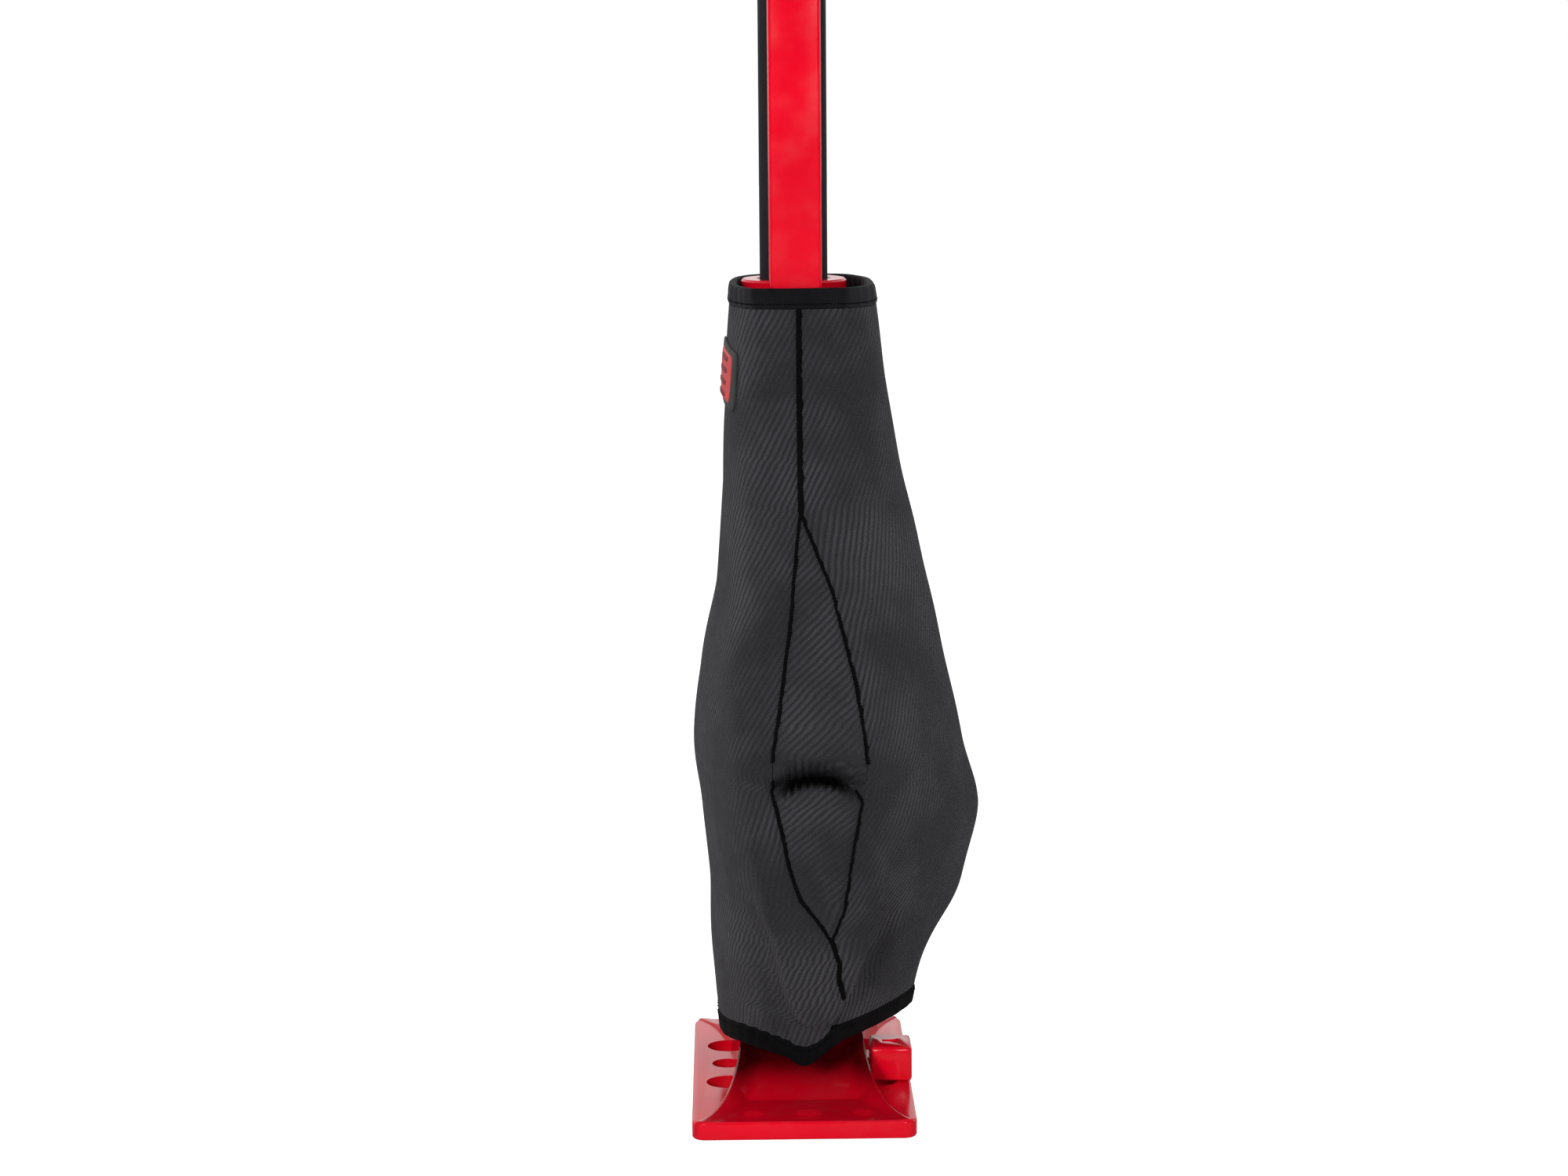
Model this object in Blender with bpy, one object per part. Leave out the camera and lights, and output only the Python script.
"""High-lift farm jack with a slip-on neoprene cover, as separate pieces.

Metres, +Z up. The origin is the middle of the base's underside, the lifting nose points to -Y,
the handle stands behind the bar at +Y, and the climbing pins and reversing latch are on +X.
"""

import math

import bmesh
import bpy
import numpy as np
from mathutils import Matrix, Vector

mm = 0.001

# clearances
gap = 0.3 * mm
slide_gap = 0.6 * mm
seam_room = 0.8 * mm

# base
base_width = 102 * mm
base_depth = 178 * mm
base_thick = 8.5 * mm
base_corner = 6 * mm
saddle_height = 46 * mm
saddle_waist = 27.5 * mm
rib_width = 3.6 * mm
dish_drop = 2.6 * mm
pocket_floor = 6 * mm
wing_hole_inset = 16.5 * mm
wing_holes = [(-23 * mm, 10.3 * mm), (8.5 * mm, 7.7 * mm), (39 * mm, 10.0 * mm)]
lug_depth = 23 * mm
lug_front = -27 * mm
lug_height = 16.5 * mm

# bar
bar_top = 1219 * mm
bar_width = 24 * mm
bar_depth = 32 * mm
flange_thick = 7 * mm
web_thick = 8 * mm
bar_corner = 1.8 * mm
bar_fillet = 2.2 * mm
first_hole = 36 * mm
hole_pitch = 30 * mm
hole_radius = 7.25 * mm
base_pin_radius = 6 * mm

# large runner, the one that lifts
runner_low = 54 * mm
runner_high = 150 * mm
runner_side_wall = 7.4 * mm
runner_end_wall = 9.4 * mm
runner_half_width = bar_width / 2 + slide_gap + runner_side_wall
runner_half_depth = bar_depth / 2 + slide_gap + runner_end_wall
nose_reach = 86.5 * mm
nose_top = 161 * mm
nose_half_width = 16 * mm
lower_pin_height = 96 * mm
lower_pin_hole = round((lower_pin_height - first_hole) / hole_pitch)
lower_pin_radius = 6 * mm
lower_boss_reach = 28 * mm
ear_gap = 13.5 * mm
ear_thick = 5 * mm
ear_radius = 13.5 * mm

# linkage: pivot of the socket, crank to the shear bolt, pitman to the small runner
pivot_y = 50 * mm
pivot_z = 130 * mm
crank = 26 * mm
crank_angle = math.radians(50)
pitman_length = 60 * mm
small_pivot_y = 38 * mm
pivot_bolt_radius = 4 * mm
shear_boss_radius = 10 * mm
open_pivot_play = 3.3 * mm
pitman_thick = 4.5 * mm
pitman_half_width = 5.5 * mm
pitman_eye = 9.5 * mm
boss_half_width = 18.9 * mm

# small runner
upper_pin_height = 216 * mm
upper_pin_hole = round((upper_pin_height - first_hole) / hole_pitch)
upper_pin_radius = 5 * mm
small_low = first_hole + upper_pin_hole * hole_pitch - 30 * mm
small_high = first_hole + upper_pin_hole * hole_pitch + 20 * mm
small_side_wall = 6.4 * mm
small_end_wall = 7.4 * mm
small_half_width = bar_width / 2 + slide_gap + small_side_wall
small_half_depth = bar_depth / 2 + slide_gap + small_end_wall
small_eye_radius = 12 * mm
upper_boss_reach = 23 * mm

# handle and socket
handle_y = 45 * mm
handle_radius = 16 * mm
handle_wall = 3 * mm
handle_top = 1030 * mm
socket_floor = 250 * mm
socket_top = 380 * mm
socket_radius = 23.5 * mm
socket_rim = 1.4 * mm
socket_base = 6 * mm
socket_bolt_z = 300 * mm
socket_bolt_radius = 3 * mm
tongue_radius = 14 * mm
grip_length = 110 * mm
grip_wall = 2.6 * mm
keeper_z = 800 * mm
keeper_height = 20 * mm
keeper_wall = 2.2 * mm

# reversing latch
latch_pivot_x = runner_half_width + 7 * mm
latch_pivot_z = 141 * mm
latch_lug_half = 12 * mm
latch_tip_x = 76 * mm
latch_tip_z = 150 * mm
latch_half_width = 7 * mm
latch_thick = 3.2 * mm
latch_pin_radius = 2.5 * mm

# top clamp, bolted through the highest hole that leaves it whole on the bar
clamp_hole = int((bar_top - first_hole - 36 * mm) / hole_pitch)
clamp_bolt_z = first_hole + clamp_hole * hole_pitch
clamp_low = clamp_bolt_z - 26 * mm
clamp_high = clamp_bolt_z + 24 * mm
clamp_wall = 3.7 * mm

# cover
cover_top = 380 * mm
cover_wall = 3 * mm
binding_height = 9.5 * mm
hem_lift_front = 28 * mm
hem_wave_front = 7.6 * mm
hem_wave_rear = 2 * mm
gusset_low = 52 * mm
gusset_high = 292 * mm
gusset_widest = 160 * mm
closure_half_width = 17 * mm
closure_thick = 2 * mm
closure_end = 12 * mm
label_low = 325 * mm
label_high = 351 * mm
label_thick = 1.6 * mm
label_span = (3.03, 3.40)


def clear_scene():
    for thing in list(bpy.data.objects):
        bpy.data.objects.remove(thing, do_unlink=True)


def finish(name, colour, roughness, metallic):
    material = bpy.data.materials.new(name)
    material.use_nodes = True
    shader = material.node_tree.nodes["Principled BSDF"]
    shader.inputs["Base Color"].default_value = (*colour, 1.0)
    shader.inputs["Roughness"].default_value = roughness
    shader.inputs["Metallic"].default_value = metallic
    material.diffuse_color = (*colour, 1.0)
    return material


clear_scene()
finishes = {
    "red": finish("red_coat", (0.80, 0.01, 0.04), 0.25, 0.0),
    "black": finish("black_coat", (0.03, 0.03, 0.033), 0.35, 0.0),
    "zinc": finish("zinc_plate", (0.62, 0.62, 0.60), 0.35, 1.0),
    "neoprene": finish("neoprene", (0.05, 0.05, 0.053), 0.8, 0.0),
    "binding": finish("binding", (0.015, 0.015, 0.018), 0.7, 0.0),
    "rubber": finish("red_rubber", (0.70, 0.12, 0.12), 0.55, 0.0),
    "black_rubber": finish("black_rubber", (0.02, 0.02, 0.02), 0.6, 0.0),
}


def mesh_object(name, verts, faces, finish_name=None, smooth=True):
    """A closed mesh with its faces turned outwards."""
    mesh = bpy.data.meshes.new(name)
    mesh.from_pydata([tuple(v) for v in verts], [], [tuple(f) for f in faces])
    work = bmesh.new()
    work.from_mesh(mesh)
    bmesh.ops.recalc_face_normals(work, faces=work.faces)
    work.to_mesh(mesh)
    work.free()
    if smooth:
        mesh.shade_smooth()
        mesh.set_sharp_from_angle(angle=math.radians(35))
    thing = bpy.data.objects.new(name, mesh)
    bpy.context.scene.collection.objects.link(thing)
    if finish_name:
        mesh.materials.append(finishes[finish_name])
    return thing


def loft(name, sections, finish_name=None, closed=False, smooth=True):
    """Skin over rings with equal point counts; closed joins the last ring to the first."""
    count = len(sections[0])
    verts = [v for ring in sections for v in ring]
    faces = []
    spans = len(sections) if closed else len(sections) - 1
    for i in range(spans):
        a = i * count
        b = ((i + 1) % len(sections)) * count
        for j in range(count):
            k = (j + 1) % count
            faces.append((a + j, a + k, b + k, b + j))
    if not closed:
        faces.append(tuple(range(count - 1, -1, -1)))
        faces.append(tuple(range((len(sections) - 1) * count, len(sections) * count)))
    return mesh_object(name, verts, faces, finish_name, smooth)


def axis_matrix(axis):
    """Turns +Z onto the named axis."""
    if axis == "X":
        return Matrix.Rotation(math.radians(90), 4, "Y")
    if axis == "Y":
        return Matrix.Rotation(math.radians(-90), 4, "X")
    return Matrix.Identity(4)


def turned(name, profile, axis, centre, finish_name=None, closed=False, sides=24):
    """Rings along an axis. Each profile entry is (distance, radius), with a 6 added for a hexagon."""
    turn = axis_matrix(axis)
    sections = []
    for entry in profile:
        distance, radius = entry[0], entry[1]
        ring = []
        for i in range(sides):
            angle = 2 * math.pi * i / sides
            reach = radius
            if len(entry) == 3:
                local = (angle + math.pi / 6) % (math.pi / 3) - math.pi / 6
                reach = radius / math.cos(local)
            point = Vector((reach * math.cos(angle), reach * math.sin(angle), distance))
            ring.append(turn @ point + Vector(centre))
        sections.append(ring)
    return loft(name, sections, finish_name, closed)


def prism(name, outline, axis, low, high, finish_name=None, bevel=0.0):
    """An outline in the other two axes, in their X, Y, Z order, carried along axis."""
    order = {"X": (1, 2, 0), "Y": (0, 2, 1), "Z": (0, 1, 2)}[axis]
    rings = []
    for level in (low, high):
        ring = []
        for a, b in outline:
            point = [0.0, 0.0, 0.0]
            point[order[0]] = a
            point[order[1]] = b
            point[order[2]] = level
            ring.append(point)
        rings.append(ring)
    thing = loft(name, rings, finish_name)
    if bevel:
        round_edges(thing, bevel)
    return thing


def box(name, low, high, finish_name=None, bevel=0.0):
    outline = [(low[0], low[1]), (high[0], low[1]), (high[0], high[1]), (low[0], high[1])]
    return prism(name, outline, "Z", low[2], high[2], finish_name, bevel)


def arc(centre, radius, start, end, steps):
    """Points on an arc, from start to end in degrees."""
    points = []
    for i in range(steps + 1):
        angle = math.radians(start + (end - start) * i / steps)
        points.append((centre[0] + radius * math.cos(angle), centre[1] + radius * math.sin(angle)))
    return points


def rounded_rectangle(half_x, half_y, radius, steps=4, centre=(0.0, 0.0)):
    points = []
    for sign_x, sign_y, start in ((1, 1, 0), (-1, 1, 90), (-1, -1, 180), (1, -1, 270)):
        corner = (centre[0] + sign_x * (half_x - radius), centre[1] + sign_y * (half_y - radius))
        points += arc(corner, radius, start, start + 90, steps)
    return points


def round_edges(thing, width, segments=2, angle=40):
    bevel = thing.modifiers.new("bevel", "BEVEL")
    bevel.width = width
    bevel.segments = segments
    bevel.limit_method = "ANGLE"
    bevel.angle_limit = math.radians(angle)


def combine(thing, tool, operation):
    step = thing.modifiers.new(operation.lower(), "BOOLEAN")
    step.operation = operation
    step.solver = "EXACT"
    step.object = tool
    tool.hide_render = True
    tool.hide_set(True)
    tool.display_type = "WIRE"


def add(thing, *tools):
    for tool in tools:
        combine(thing, tool, "UNION")


def cut(thing, *tools):
    for tool in tools:
        combine(thing, tool, "DIFFERENCE")


def hang(name, place, pieces):
    """Parents the pieces that move together to an empty on their joint's axis."""
    pivot = bpy.data.objects.new(name, None)
    pivot.location = place
    pivot.empty_display_size = 10 * mm
    bpy.context.scene.collection.objects.link(pivot)
    for piece in pieces:
        thing = bpy.data.objects[piece]
        thing.parent = pivot
        thing.matrix_parent_inverse = Matrix.Translation(-Vector(place))


def helix(name, axis, centre, start, end, radius, wire, turns, finish_name):
    """A round wire wound about an axis, with flat ends."""
    steps = int(turns * 10)
    turn = axis_matrix(axis)
    sections = []
    for i in range(steps + 1):
        share = i / steps
        angle = 2 * math.pi * turns * share
        along = start + wire + (end - start - 2 * wire) * share
        outward = Vector((math.cos(angle), math.sin(angle), 0.0))
        ring = []
        for j in range(5):
            around = 2 * math.pi * j / 5
            point = outward * (radius + wire * math.cos(around))
            point += Vector((0, 0, along + wire * math.sin(around)))
            ring.append(turn @ point + Vector(centre))
        sections.append(ring)
    return loft(name, sections, finish_name)


def hex_bolt(name, head_x, end_x, head_side, radius, flats, y, z, head=4.5 * mm):
    """A bolt along X whose head starts at head_x and points to head_side (+1 or -1)."""
    outer = head_x + head_side * head
    profile = [
        (outer, flats / 2 - 0.8 * mm),
        (outer - head_side * 0.8 * mm, flats / 2, 6),
        (head_x, flats / 2, 6),
        (head_x, radius),
        (end_x + head_side * 0.8 * mm, radius),
        (end_x, radius - 0.8 * mm),
    ]
    return turned(name, profile, "X", (0, y, z), "zinc", sides=12)


def hex_nut(name, low, high, radius, flats, y, z):
    profile = [
        (low, radius + gap),
        (low, flats / 2 - 0.6 * mm),
        (low + 0.6 * mm, flats / 2, 6),
        (high - 0.6 * mm, flats / 2, 6),
        (high, flats / 2 - 0.6 * mm),
        (high, radius + gap),
    ]
    return turned(name, profile, "X", (0, y, z), "zinc", closed=True, sides=12)


# ---------------------------------------------------------------- base and bar


def saddle_shape(share):
    """Height and half width of the saddle at a share of the way from the middle to an end."""
    fall = 0.5 + 0.5 * math.cos(math.pi * share**0.86)
    height = base_thick + 0.6 * mm + (saddle_height - base_thick - 0.6 * mm) * fall**1.15
    flare = share**2.6
    width = saddle_waist + (base_width / 2 - 1.2 * mm - saddle_waist) * flare
    return height, width


def make_base():
    plate = prism(
        "base_plate",
        rounded_rectangle(base_width / 2, base_depth / 2, base_corner, 5),
        "Z",
        0.0,
        base_thick,
        "red",
        1.3 * mm,
    )
    sections = []
    stations = 26
    for i in range(stations + 1):
        share = 2 * i / stations - 1
        y = share * (base_depth / 2 - 1.0 * mm)
        height, width = saddle_shape(abs(share))
        dish = min(dish_drop, height - base_thick - 0.2 * mm)
        bottom = 2 * mm
        half = [
            (0.0, height - dish),
            (width - 3.2 * rib_width, height - dish),
            (width - 1.5 * rib_width, height - 0.55 * dish),
            (width - rib_width, height - 0.1 * dish),
            (width - 0.5 * rib_width, height),
            (width, height - 0.18 * rib_width),
            (width + 0.35 * mm, height - 0.5 * rib_width),
            (width + 0.7 * mm, bottom),
        ]
        right = [(x, y, z) for x, z in half]
        left = [(-x, y, z) for x, z in reversed(half[1:])]
        sections.append(left + right)
    saddle = loft("saddle_tool", sections)
    add(plate, saddle)
    pocket = box(
        "pocket_tool",
        (-bar_width / 2 - gap, -bar_depth / 2 - gap, pocket_floor),
        (bar_width / 2 + gap, bar_depth / 2 + gap, saddle_height + 20 * mm),
    )
    cut(plate, pocket)
    reach = base_width
    bore = turned(
        "base_pin_bore",
        [(-reach, base_pin_radius + gap), (reach, base_pin_radius + gap)],
        "X",
        (0, 0, first_hole),
    )
    cut(plate, bore)
    for side in (-1, 1):
        for y, radius in wing_holes:
            hole = turned(
                "wing_hole_tool",
                [(-5 * mm, radius), (base_thick + 1 * mm, radius)],
                "Z",
                (side * (base_width / 2 - wing_hole_inset), y, 0),
            )
            cut(plate, hole)

    lug_low = base_thick + gap
    lug_inner = saddle_waist + 4.5 * mm
    lug = box(
        "wing_lug",
        (lug_inner, lug_front, lug_low),
        (base_width / 2 + 0.5 * mm, lug_front + lug_depth, lug_low + lug_height),
        "red",
        1.6 * mm,
    )
    slot = box(
        "lug_slot_tool",
        (lug_inner + 6 * mm, lug_front + 0.45 * lug_depth, lug_low + 0.6 * lug_height),
        (base_width / 2 - 6 * mm, lug_front + 0.6 * lug_depth, lug_low + 2 * lug_height),
    )
    cut(lug, slot)


def make_bar():
    half_x = bar_width / 2
    half_y = bar_depth / 2
    web = web_thick / 2
    inner_y = half_y - flange_thick
    r = bar_corner
    fillet = bar_fillet
    quarter = arc((half_x - r, half_y - r), r, 90, 0, 3)
    quarter += arc((half_x - 0.8 * mm, inner_y + 0.8 * mm), 0.8 * mm, 0, -90, 2)
    quarter += arc((web + fillet, inner_y - fillet), fillet, 90, 180, 3)
    outline = list(quarter)
    outline += [(x, -y) for x, y in reversed(quarter)]
    outline += [(-x, -y) for x, y in quarter]
    outline += [(-x, y) for x, y in reversed(quarter)]
    bar = prism("standard_bar", outline, "Z", pocket_floor + gap, bar_top, "red")
    count = int((bar_top - first_hole - 10 * mm) / hole_pitch) + 1
    verts = []
    faces = []
    sides = 12
    for i in range(count):
        start = len(verts)
        for x in (-2 * web, 2 * web):
            for j in range(sides):
                angle = 2 * math.pi * (j + 0.5) / sides
                y = hole_radius * math.cos(angle)
                z = first_hole + i * hole_pitch + hole_radius * math.sin(angle)
                verts.append((x, y, z))
        for j in range(sides):
            k = (j + 1) % sides
            faces.append((start + j, start + k, start + sides + k, start + sides + j))
        faces.append(tuple(range(start + sides - 1, start - 1, -1)))
        faces.append(tuple(range(start + sides, start + 2 * sides)))
    holes = mesh_object("bar_holes_tool", verts, faces)
    cut(bar, holes)

    head = saddle_waist + 0.7 * mm + gap
    turned(
        "base_pin",
        [
            (-head - 4 * mm, base_pin_radius + 1.6 * mm),
            (-head - 3 * mm, base_pin_radius + 3 * mm),
            (-head, base_pin_radius + 3 * mm),
            (-head, base_pin_radius),
            (head + 4.5 * mm, base_pin_radius),
            (head + 5.5 * mm, base_pin_radius - 1 * mm),
        ],
        "X",
        (0, 0, first_hole),
        "zinc",
    )
    turned(
        "base_pin_clip",
        [
            (head, base_pin_radius + gap),
            (head, base_pin_radius + 4 * mm),
            (head + 1.6 * mm, base_pin_radius + 4 * mm),
            (head + 1.6 * mm, base_pin_radius + gap),
        ],
        "X",
        (0, 0, first_hole),
        "zinc",
        closed=True,
    )


def make_top_clamp():
    outer = bar_width / 2 + gap + clamp_wall
    front = -bar_depth / 2 - 18 * mm
    lip = bar_depth / 2 - flange_thick - gap
    flange = bar_width / 2 + gap
    web = web_thick / 2 + gap
    face = -bar_depth / 2 - gap
    root = lip - bar_fillet
    outline = [
        (-outer, front),
        (outer, front),
        (outer, root),
        (web, root),
        (web, -root),
        (flange, -root),
        (flange, face),
        (-flange, face),
        (-flange, -root),
        (-web, -root),
        (-web, root),
        (-outer, root),
    ]
    clamp = prism("top_clamp", outline, "Z", clamp_low, clamp_high, "red")
    z = clamp_bolt_z
    radius = pivot_bolt_radius
    jaw = prism(
        "clamp_jaw_tool",
        [
            (front + 2 * mm, clamp_low + 8 * mm),
            (front - 28 * mm, clamp_low + 14 * mm),
            (front - 32 * mm, clamp_low + 4 * mm),
            (front - 39 * mm, clamp_low + 4 * mm),
            (front - 39 * mm, clamp_low + 30 * mm),
            (front + 2 * mm, clamp_low + 36 * mm),
        ],
        "X",
        -9 * mm,
        9 * mm,
    )
    add(clamp, jaw)
    bore = turned("clamp_bore_tool", [(-50 * mm, radius + gap), (50 * mm, radius + gap)], "X", (0, 0, z))
    cut(clamp, bore)
    hex_bolt("top_clamp_bolt", outer + gap, -outer - 7 * mm, 1, radius, 13 * mm, 0, z)
    hex_nut("top_clamp_nut", -outer - gap - 6 * mm, -outer - gap, radius, 13 * mm, 0, z)


# ---------------------------------------------------------------- runners, pins and latch


def shear_point():
    """Where the shear bolt is at rest."""
    y = pivot_y + crank * math.cos(crank_angle)
    z = pivot_z + crank * math.sin(crank_angle)
    return y, z


def small_pivot_z():
    y, z = shear_point()
    return z + math.sqrt(pitman_length**2 - (y - small_pivot_y) ** 2)


def pin_set(level, wall_x, boss_end, tip_x, radius, end_x, names):
    """A sprung climbing pin along X, its spring and the cap that closes its boss. Returns the bore cutters."""
    z = first_hole + level * hole_pitch
    collar = radius + 2.6 * mm
    collar_start = wall_x + 3 * mm
    collar_end = collar_start + 2.5 * mm
    cap_start = boss_end - 3 * mm
    turned(
        names[0],
        [
            (tip_x, radius - 1.2 * mm),
            (tip_x + 1.2 * mm, radius),
            (collar_start, radius),
            (collar_start, collar),
            (collar_end, collar),
            (collar_end, radius - 1.5 * mm),
            (end_x - 4 * mm, radius - 1.5 * mm),
            (end_x - 4 * mm, radius + 1.5 * mm),
            (end_x - 1 * mm, radius + 1.5 * mm),
            (end_x, radius + 0.5 * mm),
        ],
        "X",
        (0, 0, z),
        "zinc",
    )
    helix(
        names[1],
        "X",
        (0, 0, z),
        collar_end + gap,
        cap_start - gap,
        radius + 0.4 * mm,
        0.75 * mm,
        4.5,
        "zinc",
    )
    turned(
        names[2],
        [
            (cap_start, radius - 1.5 * mm + slide_gap),
            (cap_start, collar + gap),
            (boss_end, collar + gap),
            (boss_end, radius - 1.5 * mm + slide_gap),
        ],
        "X",
        (0, 0, z),
        "zinc",
        closed=True,
    )
    profile = [(0, radius + slide_gap), (boss_end, radius + slide_gap)]
    bore = turned("pin_bore_tool", profile, "X", (0, 0, z))
    pocket = turned(
        "pin_pocket_tool",
        [(wall_x + 2.4 * mm, collar + 2 * gap), (boss_end + 5 * mm, collar + 2 * gap)],
        "X",
        (0, 0, z),
    )
    return bore, pocket


def make_large_runner():
    runner = prism(
        "large_runner",
        rounded_rectangle(runner_half_width, runner_half_depth, 5 * mm, 3),
        "Z",
        runner_low,
        runner_high,
        "red",
        1.2 * mm,
    )
    nose = prism(
        "nose_tool",
        [
            (-20 * mm, runner_low + 6 * mm),
            (-34 * mm, runner_low + 8 * mm),
            (-60 * mm, 104 * mm),
            (4 * mm - nose_reach, nose_top - 15 * mm),
            (-nose_reach, nose_top - 11 * mm),
            (-nose_reach, nose_top - 3 * mm),
            (4 * mm - nose_reach, nose_top),
            (-52 * mm, nose_top),
            (-20 * mm, nose_top - 12 * mm),
        ],
        "X",
        -nose_half_width,
        nose_half_width,
        bevel=1.2 * mm,
    )
    add(runner, nose)
    for side in (-1, 1):
        low, high = sorted((side * ear_gap, side * (ear_gap + ear_thick)))
        outline = [(20 * mm, pivot_z - ear_radius), (20 * mm, pivot_z + ear_radius)]
        outline += arc((pivot_y, pivot_z), ear_radius, 90, -90, 8)
        add(runner, prism("ear_tool", outline, "X", low, high))
    boss_end = runner_half_width + lower_boss_reach
    pin_z = first_hole + lower_pin_hole * hole_pitch
    add(
        runner,
        turned(
            "pin_boss_tool",
            [
                (runner_half_width - 4 * mm, 13.5 * mm),
                (boss_end - 1 * mm, 11.5 * mm),
                (boss_end, 10.8 * mm),
            ],
            "X",
            (0, 0, pin_z),
        ),
    )
    lug_top = latch_pivot_z + 7 * mm
    lug = box(
        "latch_lug_tool",
        (runner_half_width - 4 * mm, -latch_lug_half, latch_pivot_z - 9 * mm),
        (latch_pivot_x + 6 * mm, latch_lug_half, lug_top),
        bevel=1 * mm,
    )
    add(runner, lug)
    for side in (-1, 1):
        low, high = sorted((side * nose_half_width * 0.45, side * (nose_half_width + 5 * mm)))
        outline = [(-31 * mm, 76 * mm), (-31 * mm, 141 * mm), (-70 * mm, 147 * mm), (-52 * mm, 108 * mm)]
        cut(runner, prism("nose_pocket_tool", outline, "X", low, high))
    channel = box(
        "runner_channel_tool",
        (-bar_width / 2 - slide_gap, -bar_depth / 2 - slide_gap, runner_low - 10 * mm),
        (bar_width / 2 + slide_gap, bar_depth / 2 + slide_gap, nose_top + 10 * mm),
    )
    cut(runner, channel)
    bolt_bore = turned(
        "cross_bore_tool",
        [(-30 * mm, pivot_bolt_radius + gap), (30 * mm, pivot_bolt_radius + gap)],
        "X",
        (0, pivot_y, pivot_z),
    )
    cut(runner, bolt_bore)
    names = ("climbing_pin_lower", "pin_spring_lower", "pin_cap_lower")
    end_x = boss_end + 10 * mm
    tip = -web_thick / 2 - 1 * mm
    tools = pin_set(lower_pin_hole, runner_half_width, boss_end, tip, lower_pin_radius, end_x, names)
    cut(runner, *tools)
    slot_half = latch_half_width + 0.5 * mm
    slot = box(
        "latch_slot_tool",
        (runner_half_width + 0.2 * mm, -slot_half, latch_pivot_z - 20 * mm),
        (latch_pivot_x + 13 * mm, slot_half, latch_pivot_z + 20 * mm),
    )
    cut(runner, slot)
    latch_bore = turned(
        "latch_bore_tool",
        [(-20 * mm, latch_pin_radius + gap), (20 * mm, latch_pin_radius + gap)],
        "Y",
        (latch_pivot_x, 0, latch_pivot_z),
    )
    cut(runner, latch_bore)

    ear_face = ear_gap + ear_thick + gap
    flats = 12 * mm
    radius = pivot_bolt_radius
    hex_bolt("cross_bolt", ear_face, -ear_face - 5.5 * mm, 1, radius, flats, pivot_y, pivot_z, 4 * mm)
    hex_nut("cross_bolt_nut", -ear_face - 4.5 * mm, -ear_face, radius, flats, pivot_y, pivot_z)


def make_latch():
    """A bent lever on a pin through the lug, with a torsion spring at the pin's end."""
    r = 5.2 * mm
    slope = math.atan2(latch_tip_z - latch_pivot_z, latch_tip_x - latch_pivot_x)
    angle = math.degrees(slope)
    half = latch_thick / 2
    side = Vector((-math.sin(slope), math.cos(slope)))
    tip = Vector((latch_tip_x, latch_tip_z))
    knob = 4.2 * mm
    centre = (latch_pivot_x, latch_pivot_z)
    along = (tip - Vector(centre)).normalized()
    root_up = Vector(centre) + along * r + side * half
    root_down = Vector(centre) + along * r - side * half
    neck = tip - along * 2 * knob
    outline = arc(centre, r, angle + 35, angle + 325, 12)
    outline += [tuple(root_down), tuple(neck - side * half)]
    outline += arc(tuple(tip - along * knob), knob, angle - 120, angle + 120, 8)
    outline += [tuple(neck + side * half), tuple(root_up)]
    lever = prism("reversing_latch", outline, "Y", -latch_half_width, latch_half_width, "zinc")
    bore = turned(
        "lever_bore_tool",
        [(-20 * mm, latch_pin_radius + gap), (20 * mm, latch_pin_radius + gap)],
        "Y",
        (latch_pivot_x, 0, latch_pivot_z),
    )
    cut(lever, bore)
    head = latch_lug_half + gap
    turned(
        "latch_pivot_pin",
        [
            (-head - 2 * mm, latch_pin_radius + 1 * mm),
            (-head - 1 * mm, latch_pin_radius + 2 * mm),
            (-head, latch_pin_radius + 2 * mm),
            (-head, latch_pin_radius),
            (head + 9.2 * mm, latch_pin_radius),
            (head + 9.2 * mm, latch_pin_radius + 2 * mm),
            (head + 11 * mm, latch_pin_radius + 1.2 * mm),
        ],
        "Y",
        (latch_pivot_x, 0, latch_pivot_z),
        "zinc",
    )
    helix(
        "latch_spring",
        "Y",
        (latch_pivot_x, 0, latch_pivot_z),
        head,
        head + 8.8 * mm,
        latch_pin_radius + 1.4 * mm,
        0.7 * mm,
        4.5,
        "zinc",
    )


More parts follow.
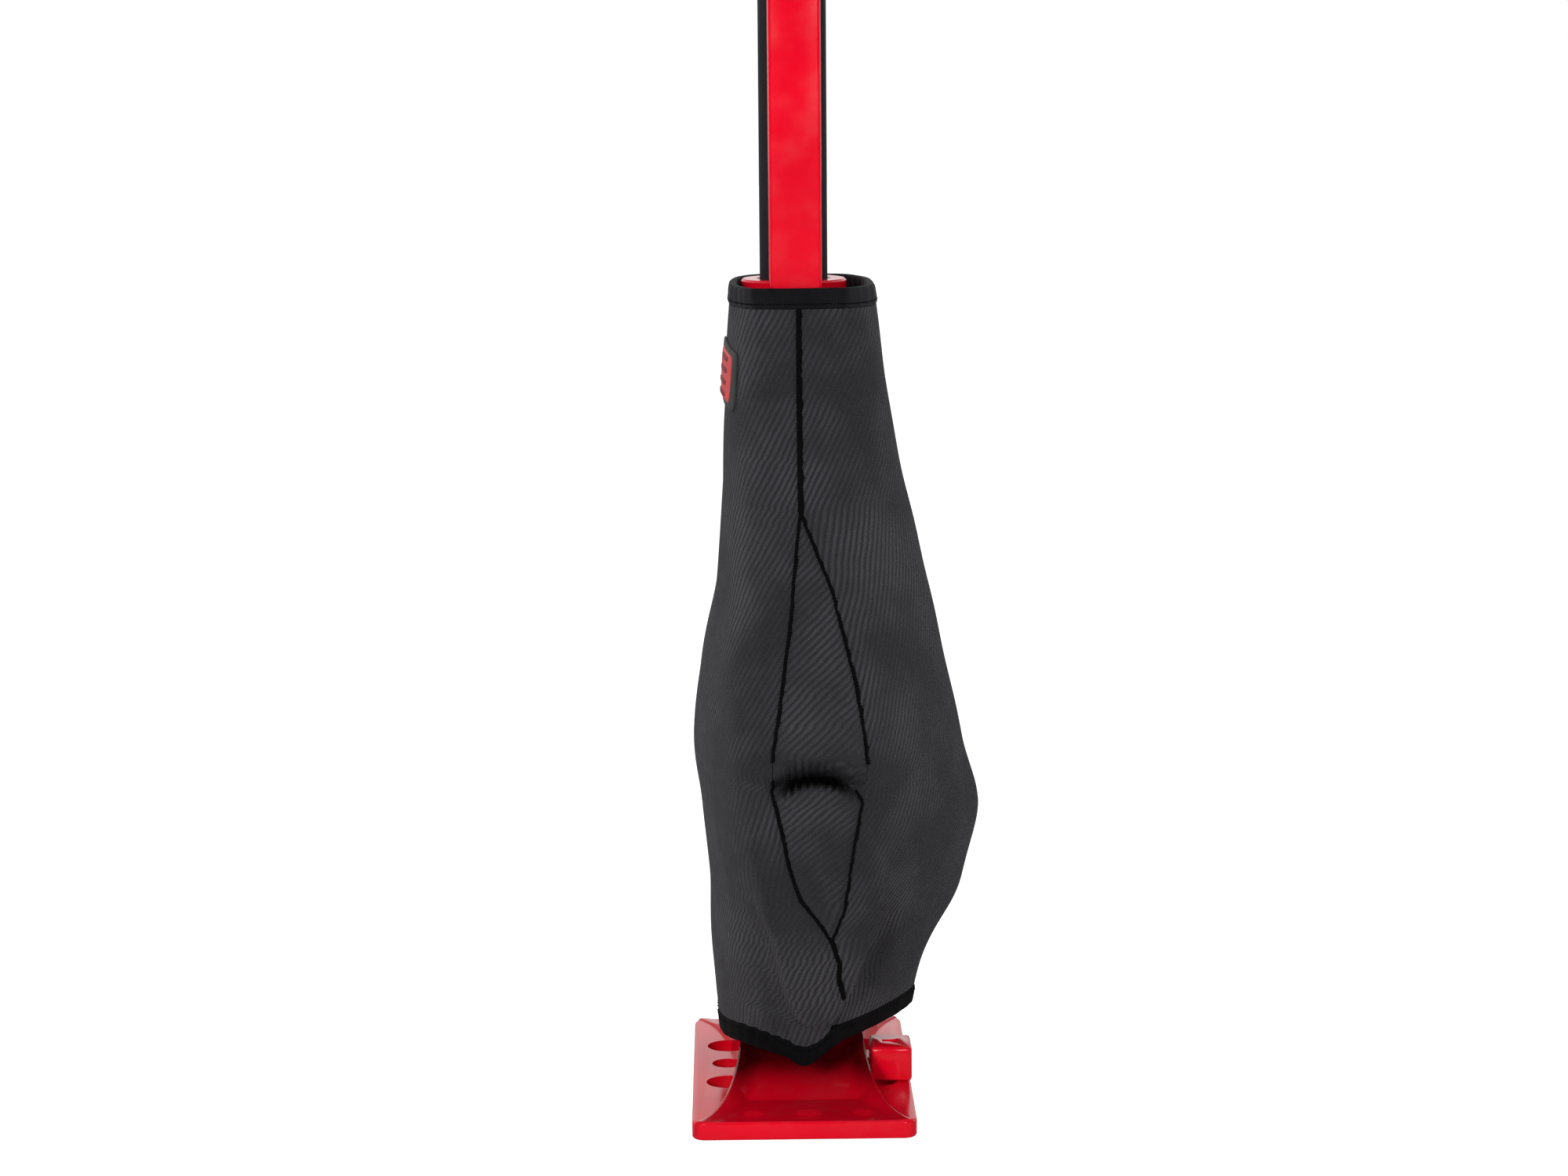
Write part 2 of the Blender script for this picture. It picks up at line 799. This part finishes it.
def make_small_runner():
    runner = prism(
        "small_runner",
        rounded_rectangle(small_half_width, small_half_depth, 5 * mm, 3),
        "Z",
        small_low,
        small_high,
        "red",
        1.2 * mm,
    )
    z = small_pivot_z()
    outline = [(18 * mm, z - small_eye_radius), (18 * mm, z + small_eye_radius)]
    outline += arc((small_pivot_y, z), small_eye_radius, 90, -90, 8)
    add(runner, prism("small_eye_tool", outline, "X", -boss_half_width, boss_half_width))
    boss_end = small_half_width + upper_boss_reach
    pin_z = first_hole + upper_pin_hole * hole_pitch
    add(
        runner,
        turned(
            "small_boss_tool",
            [
                (small_half_width - 4 * mm, 12 * mm),
                (boss_end - 1 * mm, 10.4 * mm),
                (boss_end, 9.8 * mm),
            ],
            "X",
            (0, 0, pin_z),
        ),
    )
    channel = box(
        "small_channel_tool",
        (-bar_width / 2 - slide_gap, -bar_depth / 2 - slide_gap, small_low - 10 * mm),
        (bar_width / 2 + slide_gap, bar_depth / 2 + slide_gap, small_high + 10 * mm),
    )
    cut(runner, channel)
    play = pivot_bolt_radius + open_pivot_play
    pivot = (0, small_pivot_y, z)
    cut(runner, turned("small_bore_tool", [(-30 * mm, play), (30 * mm, play)], "X", pivot))
    names = ("climbing_pin_upper", "pin_spring_upper", "pin_cap_upper")
    tip = web_thick / 2 + slide_gap
    end_x = boss_end + 8 * mm
    tools = pin_set(upper_pin_hole, small_half_width, boss_end, tip, upper_pin_radius, end_x, names)
    cut(runner, *tools)


def make_pitmans():
    y, z = shear_point()
    top = small_pivot_z()
    direction = Vector((small_pivot_y - y, top - z)).normalized()
    across = Vector((-direction.y, direction.x))
    heading = math.degrees(math.atan2(direction.y, direction.x))
    neck = math.sqrt(pitman_eye**2 - pitman_half_width**2)
    lower = Vector((y, z))
    upper = Vector((small_pivot_y, top))
    opening = math.degrees(math.asin(pitman_half_width / pitman_eye))
    outline = arc(tuple(lower), pitman_eye, heading + opening, heading + 360 - opening, 14)
    outline += [tuple(upper - direction * neck - across * pitman_half_width)]
    outline += arc(tuple(upper), pitman_eye, heading + 180 + opening, heading + 540 - opening, 14)[1:]
    for side, name in ((-1, "pitman_left"), (1, "pitman_right")):
        inner = boss_half_width + gap
        low, high = sorted((side * inner, side * (inner + pitman_thick)))
        plate = prism(name, outline, "X", low, high, "zinc")
        for point in (lower, upper):
            bore = turned(
                "pitman_bore_tool",
                [(-40 * mm, pivot_bolt_radius + gap), (40 * mm, pivot_bolt_radius + gap)],
                "X",
                (0, point.x, point.y),
            )
            cut(plate, bore)
    face = boss_half_width + pitman_thick + 2 * gap
    flats = 13 * mm
    for name, spot in (("shear_bolt", lower), ("pitman_bolt", upper)):
        hex_bolt(name, face, -face - 6.5 * mm, 1, pivot_bolt_radius, flats, spot.x, spot.y)
        hex_nut(name + "_nut", -face - 5.2 * mm, -face, pivot_bolt_radius, flats, spot.x, spot.y)


# ---------------------------------------------------------------- socket and handle


def make_socket():
    """A round socket for the handle, over a tongue that swings between the large runner's ears."""
    inner = handle_radius + gap
    y, z = shear_point()
    tongue = ear_gap - 0.8 * mm
    socket = turned(
        "handle_socket",
        [
            (socket_floor, socket_radius - 4 * mm),
            (socket_floor + socket_base, socket_radius - 1 * mm),
            (socket_top - 12 * mm, socket_radius),
            (socket_top - 9 * mm, socket_radius + socket_rim),
            (socket_top - 1 * mm, socket_radius + socket_rim),
            (socket_top, socket_radius + socket_rim - 1 * mm),
        ],
        "Z",
        (0, handle_y, 0),
        "red",
        sides=36,
    )
    outline = [
        (30 * mm, socket_floor + 18 * mm),
        (60 * mm, socket_floor + 18 * mm),
        (70 * mm, socket_floor - 10 * mm),
        (y + 12 * mm, z + 50 * mm),
        (y + 12 * mm, z),
        (y + 7 * mm, z - 11 * mm),
    ]
    outline += arc((pivot_y, pivot_z), tongue_radius, -45, -260, 12)
    outline += [
        (pivot_y + 4 * mm, z + 14 * mm),
        (pivot_y + 4 * mm, z + 55 * mm),
        (44 * mm, socket_floor - 14 * mm),
        (30 * mm, socket_floor + 6 * mm),
    ]
    add(socket, prism("tongue_tool", outline, "X", -tongue, tongue, bevel=1.0 * mm))
    boss = boss_half_width
    profile = [(-boss, shear_boss_radius), (boss, shear_boss_radius)]
    add(socket, turned("shear_boss_tool", profile, "X", (0, y, z)))
    side_boss = socket_radius + 2 * mm
    add(
        socket,
        turned(
            "socket_boss_tool",
            [(-side_boss, 7.5 * mm), (side_boss, 7.5 * mm)],
            "X",
            (0, handle_y, socket_bolt_z),
        ),
    )
    bore = [
        (socket_floor + socket_base, inner),
        (socket_top - 1.5 * mm, inner),
        (socket_top + 1 * mm, inner + 2.5 * mm),
    ]
    cut(socket, turned("socket_bore_tool", bore, "Z", (0, handle_y, 0), sides=36))
    for spot_y, spot_z, bolt in (
        (pivot_y, pivot_z, pivot_bolt_radius),
        (y, z, pivot_bolt_radius),
        (handle_y, socket_bolt_z, socket_bolt_radius),
    ):
        profile = [(-40 * mm, bolt + gap), (40 * mm, bolt + gap)]
        cut(socket, turned("socket_cross_tool", profile, "X", (0, spot_y, spot_z)))

    tube = turned(
        "handle_tube",
        [
            (socket_floor + socket_base + gap, handle_radius - handle_wall),
            (socket_floor + socket_base + gap, handle_radius),
            (handle_top, handle_radius),
            (handle_top, handle_radius - handle_wall),
        ],
        "Z",
        (0, handle_y, 0),
        "black",
        closed=True,
        sides=36,
    )
    bolt = socket_bolt_radius
    flats = 10 * mm
    profile = [(-40 * mm, bolt + gap), (40 * mm, bolt + gap)]
    cut(tube, turned("tube_cross_tool", profile, "X", (0, handle_y, socket_bolt_z)))
    face = side_boss + gap
    hex_bolt("socket_bolt", face, -face - 5 * mm, 1, bolt, flats, handle_y, socket_bolt_z, 3.4 * mm)
    hex_nut("socket_bolt_nut", -face - 4 * mm, -face, bolt, flats, handle_y, socket_bolt_z)

    turned(
        "handle_grip",
        [
            (handle_top - grip_length, handle_radius + gap),
            (handle_top - grip_length, handle_radius + grip_wall - 0.8 * mm),
            (handle_top - grip_length + 2 * mm, handle_radius + grip_wall),
            (handle_top + 1 * mm, handle_radius + grip_wall),
            (handle_top + 4 * mm, handle_radius - 1 * mm),
            (handle_top + 4 * mm, 6 * mm),
            (handle_top + gap, 6 * mm),
            (handle_top + gap, handle_radius + gap),
        ],
        "Z",
        (0, handle_y, 0),
        "black_rubber",
        closed=True,
        sides=36,
    )


def make_keeper():
    """A spring-steel clip round the handle, with two jaws that hug the bar's rear flange."""
    low = keeper_z - keeper_height / 2
    high = keeper_z + keeper_height / 2
    inner = handle_radius + gap
    clip = turned(
        "handle_keeper",
        [(low, inner + keeper_wall), (high, inner + keeper_wall)],
        "Z",
        (0, handle_y, 0),
        "black",
        sides=36,
    )
    jaw_inner = bar_width / 2 + 0.5 * mm
    jaw_front = bar_depth / 2 - flange_thick + 0.6 * mm
    for side in (-1, 1):
        near, far = sorted((side * jaw_inner, side * (jaw_inner + keeper_wall)))
        add(clip, box("jaw_tool", (near, jaw_front, low + 0.5 * mm), (far, handle_y, high - 0.5 * mm)))
    profile = [(low - 5 * mm, inner), (high + 5 * mm, inner)]
    cut(clip, turned("clip_bore_tool", profile, "Z", (0, handle_y, 0), sides=36))


# ---------------------------------------------------------------- neoprene cover

# height, right, left, front, rear, centre y, half width of the front, roundness right and left
cover_levels = np.array(
    [
        (24, 52, 36, 66, 66, 8, 6, 1.20, 2.0),
        (60, 59, 38.5, 72, 76, 8, 12, 1.30, 1.9),
        (100, 77, 41.5, 80, 86, 10, 18, 1.35, 1.7),
        (133, 86, 46, 87, 91, 12, 21, 1.40, 1.6),
        (165, 80, 48.5, 92, 92, 12, 22, 1.45, 1.6),
        (200, 73, 46, 70, 91, 16, 20, 1.55, 1.7),
        (235, 64.5, 40, 52, 89, 20, 14, 1.70, 1.8),
        (275, 54, 37.5, 36, 85, 22, 10, 1.90, 2.0),
        (320, 44.5, 35, 26, 80, 24, 8, 2.20, 2.3),
        (380, 38.5, 33.2, 22, 76, 24, 9, 2.50, 2.6),
    ]
)
rear_roundness = 3.2


def level_values(z):
    """The cover's measures at a height, on a smooth curve through the levels."""
    heights = cover_levels[:, 0] * mm
    table = cover_levels[:, 1:]
    z = min(max(z, heights[0]), heights[-1])
    i = min(int(np.searchsorted(heights, z, side="right")) - 1, len(heights) - 2)
    span = heights[i + 1] - heights[i]
    t = (z - heights[i]) / span
    before = table[max(i - 1, 0)]
    after = table[min(i + 2, len(heights) - 1)]
    step_a = (table[i + 1] - before) / (heights[i + 1] - heights[max(i - 1, 0)]) * span
    step_b = (after - table[i]) / (heights[min(i + 2, len(heights) - 1)] - heights[i]) * span
    a = 2 * t**3 - 3 * t**2 + 1
    b = t**3 - 2 * t**2 + t
    c = -2 * t**3 + 3 * t**2
    d = t**3 - t**2
    return a * table[i] + b * step_a + c * table[i + 1] + d * step_b


def cover_point(u, z, inset=0.0):
    """A point on the cover. u runs 0 front, 1 right, 2 rear, 3 left, 4 front again."""
    right, left, front, rear, centre, flat, round_right, round_left = level_values(z)
    side = 1 if u <= 2 else -1
    share = u if u <= 2 else 4 - u
    reach = (right if side > 0 else left) * mm - inset
    front = front * mm - inset
    rear = rear * mm - inset
    centre = centre * mm
    flat = flat * mm
    roundness = round_right if side > 0 else round_left
    if share <= 0.25:
        x = flat * share / 0.25
        y = -front + 1.5 * mm * (share / 0.25) ** 2
    elif share <= 1:
        turn = (share - 0.25) / 0.75 * math.pi / 2
        x = flat + (reach - flat) * math.sin(turn) ** (2 / roundness)
        y = centre - (centre + front - 1.5 * mm) * math.cos(turn) ** (2 / roundness)
    else:
        turn = (share - 1) * math.pi / 2
        x = reach * math.cos(turn) ** (2 / rear_roundness)
        y = centre + (rear - centre) * math.sin(turn) ** (2 / rear_roundness)
    return side * x, y, z


def hem_height(u):
    """The hem is lowest at the front and the back, and higher beside the saddle."""
    turn = min(u, 4 - u)
    lift = hem_wave_front if turn < 1 else hem_wave_rear
    return hem_lift_front + lift * math.sin(math.pi * turn) ** 2


def cover_shell(name, edges, rows, columns, finish_name, outside=0.0, wall=cover_wall):
    """A curved sheet with thickness. Its low and high edges are functions of u, its sides of height."""
    low_edge, high_edge, left_edge, right_edge = edges
    outer = []
    inner = []
    for i in range(rows + 1):
        v = i / rows
        for j in range(columns + 1):
            s = j / columns
            middle = 0.5 * (low_edge(0.0) + high_edge(0.0))
            u = left_edge(middle) + (right_edge(middle) - left_edge(middle)) * s
            for _ in range(3):
                z = low_edge(u % 4) + (high_edge(u % 4) - low_edge(u % 4)) * v
                u = left_edge(z) + (right_edge(z) - left_edge(z)) * s
            outer.append(cover_point(u % 4, z, -outside))
            inner.append(cover_point(u % 4, z, wall - outside))
    count = (rows + 1) * (columns + 1)
    verts = outer + inner
    faces = []
    wide = columns + 1
    for i in range(rows):
        for j in range(columns):
            a = i * wide + j
            faces.append((a, a + 1, a + wide + 1, a + wide))
            faces.append((count + a, count + a + wide, count + a + wide + 1, count + a + 1))
    rim = [(j, j + 1) for j in range(columns)]
    rim += [(i * wide + columns, (i + 1) * wide + columns) for i in range(rows)]
    rim += [(rows * wide + j + 1, rows * wide + j) for j in reversed(range(columns))]
    rim += [((i + 1) * wide, i * wide) for i in reversed(range(rows))]
    for a, b in rim:
        faces.append((b, a, count + a, count + b))
    return mesh_object(name, verts, faces, finish_name)


def cover_ring(name, low_edge, high_edge, count, finish_name):
    """A closed band round the cover, standing out 0.4 mm on both faces."""
    outside = 0.4 * mm
    wall = cover_wall + 2 * outside
    sections = []
    for j in range(count):
        u = 4 * j / count
        low, high = low_edge(u), high_edge(u)
        sections.append(
            [
                cover_point(u, low, -outside),
                cover_point(u, high, -outside),
                cover_point(u, high, wall - outside),
                cover_point(u, low, wall - outside),
            ]
        )
    return loft(name, sections, finish_name, closed=True)


def seam_gap(z, u):
    """The share of u that is half a seam's room at this place."""
    a = Vector(cover_point((u - 0.01) % 4, z))
    b = Vector(cover_point((u + 0.01) % 4, z))
    return 0.5 * seam_room / max((b - a).length / 0.02, 1 * mm)


def gusset_half(z):
    """Half the gusset's width in u: a long leaf, widest at the nose's tip."""
    if z >= gusset_widest:
        share = (gusset_high - z) / (gusset_high - gusset_widest)
    else:
        share = (z - gusset_low) / (gusset_widest - gusset_low)
    return 0.010 + 0.245 * math.sin(math.pi / 2 * max(0.0, min(1.0, share)))


def make_cover():
    def bottom(u):
        return hem_height(u) + binding_height + seam_room

    def top(u):
        return cover_top - binding_height - seam_room

    def right_start(z):
        if gusset_low - seam_room < z < gusset_high + seam_room:
            return gusset_half(z) + 2 * seam_gap(z, 0.1)
        return seam_gap(z, 0.1)

    def left_end(z):
        return 4 - right_start(z)

    def right_end(z):
        return 2 - seam_gap(z, 1.9)

    def left_start(z):
        return 2 + seam_gap(z, 2.1)

    cover_shell("cover_panel_right", (bottom, top, right_start, right_end), 28, 12, "neoprene")
    cover_shell("cover_panel_left", (bottom, top, left_start, left_end), 28, 12, "neoprene")
    gusset_edges = (
        lambda u: gusset_low,
        lambda u: gusset_high,
        lambda z: 4 - gusset_half(z),
        lambda z: 4 + gusset_half(z),
    )
    cover_shell("cover_nose_gusset", gusset_edges, 22, 4, "neoprene")
    cover_ring("cover_top_binding", lambda u: top(u) + seam_room, lambda u: cover_top, 40, "binding")
    cover_ring("cover_hem_binding", hem_height, lambda u: bottom(u) - seam_room, 56, "binding")

    def closure_share(z, side):
        """How far in u the closure reaches past the rear seam on one side."""
        half = level_values(z)[0 if side > 0 else 1] * mm
        turn = math.acos((closure_half_width / half) ** (rear_roundness / 2))
        return 1 - turn / (math.pi / 2)

    closure_edges = (
        lambda u: bottom(2) + closure_end,
        lambda u: top(2) - closure_end,
        lambda z: 2 - closure_share(z, 1),
        lambda z: 2 + closure_share(z, -1),
    )
    outside = closure_thick + gap
    cover_shell("cover_rear_closure", closure_edges, 16, 4, "binding", outside, closure_thick)
    label_edges = (
        lambda u: label_low,
        lambda u: label_high,
        lambda z: label_span[0],
        lambda z: label_span[1],
    )
    cover_shell("cover_label", label_edges, 3, 4, "rubber", label_thick + gap, label_thick)


def hang_moving_pieces():
    shear_y, shear_z = shear_point()
    lower_z = first_hole + lower_pin_hole * hole_pitch
    upper_z = first_hole + upper_pin_hole * hole_pitch
    hang(
        "climb_axis",
        (0, 0, runner_low),
        [
            "large_runner",
            "cross_bolt",
            "cross_bolt_nut",
            "pin_spring_lower",
            "pin_cap_lower",
            "latch_pivot_pin",
            "latch_spring",
        ],
    )
    hang("small_axis", (0, 0, small_low), ["small_runner", "pin_spring_upper", "pin_cap_upper"])
    hang("lower_pin_axis", (0, 0, lower_z), ["climbing_pin_lower"])
    hang("upper_pin_axis", (0, 0, upper_z), ["climbing_pin_upper"])
    hang("latch_axis", (latch_pivot_x, 0, latch_pivot_z), ["reversing_latch"])
    hang(
        "handle_axis",
        (0, pivot_y, pivot_z),
        [
            "handle_socket",
            "handle_tube",
            "handle_grip",
            "socket_bolt",
            "socket_bolt_nut",
            "shear_bolt",
            "shear_bolt_nut",
        ],
    )
    hang(
        "pitman_axis",
        (0, shear_y, shear_z),
        [
            "pitman_left",
            "pitman_right",
            "pitman_bolt",
            "pitman_bolt_nut",
        ],
    )
    hang("keeper_axis", (0, handle_y, keeper_z), ["handle_keeper"])
    hang(
        "cover_axis",
        (0, 0, cover_top),
        [
            "cover_panel_left",
            "cover_panel_right",
            "cover_nose_gusset",
            "cover_top_binding",
            "cover_hem_binding",
            "cover_rear_closure",
            "cover_label",
        ],
    )


make_base()
make_bar()
make_top_clamp()
make_large_runner()
make_latch()
make_small_runner()
make_pitmans()
make_socket()
make_keeper()
make_cover()
hang_moving_pieces()
